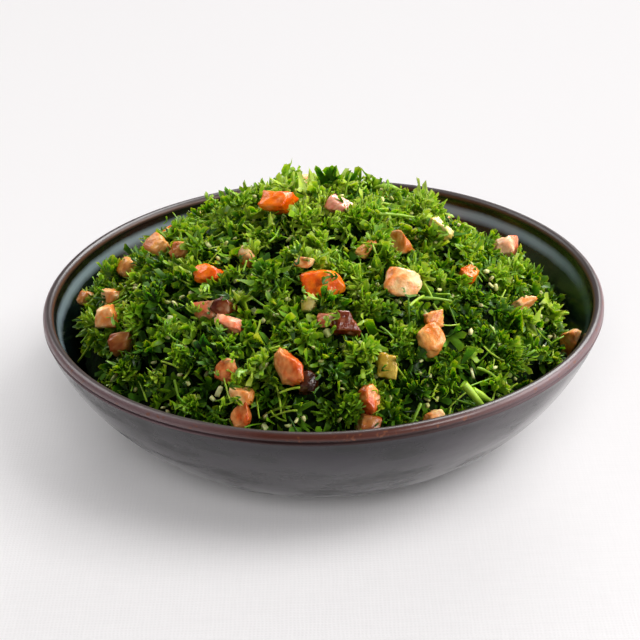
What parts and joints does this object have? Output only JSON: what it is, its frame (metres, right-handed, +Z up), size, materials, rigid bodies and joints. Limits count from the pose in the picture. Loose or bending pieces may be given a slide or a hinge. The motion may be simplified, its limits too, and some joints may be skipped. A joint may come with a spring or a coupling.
{
  "type": "tabbouleh salad in a bowl",
  "caption": "Tabbouleh heaped in a wide shallow stoneware bowl: chopped parsley with tomato dice, stalks and bulgur grains, in a round bowl with a rolled lip and a low foot ring.",
  "frame": {"origin": "on the table, under the centre of the bowl's foot ring", "axes": "+Z up along the bowl's axis; +Y away from the side that is seen from the front; +X to its right"},
  "size_m": [0.21, 0.21, 0.0995],
  "materials": {
    "stoneware": "dark grey satin glaze with a brown lip, glossy inside",
    "parsley": "moist chopped leaf",
    "stalk": "moist, smooth",
    "tomato": "wet cut flesh",
    "bulgur": "moist grain"
  },
  "bodies": {
    "root": {"bowl": "stoneware", "salad": "parsley"}
  },
  "joints": []
}
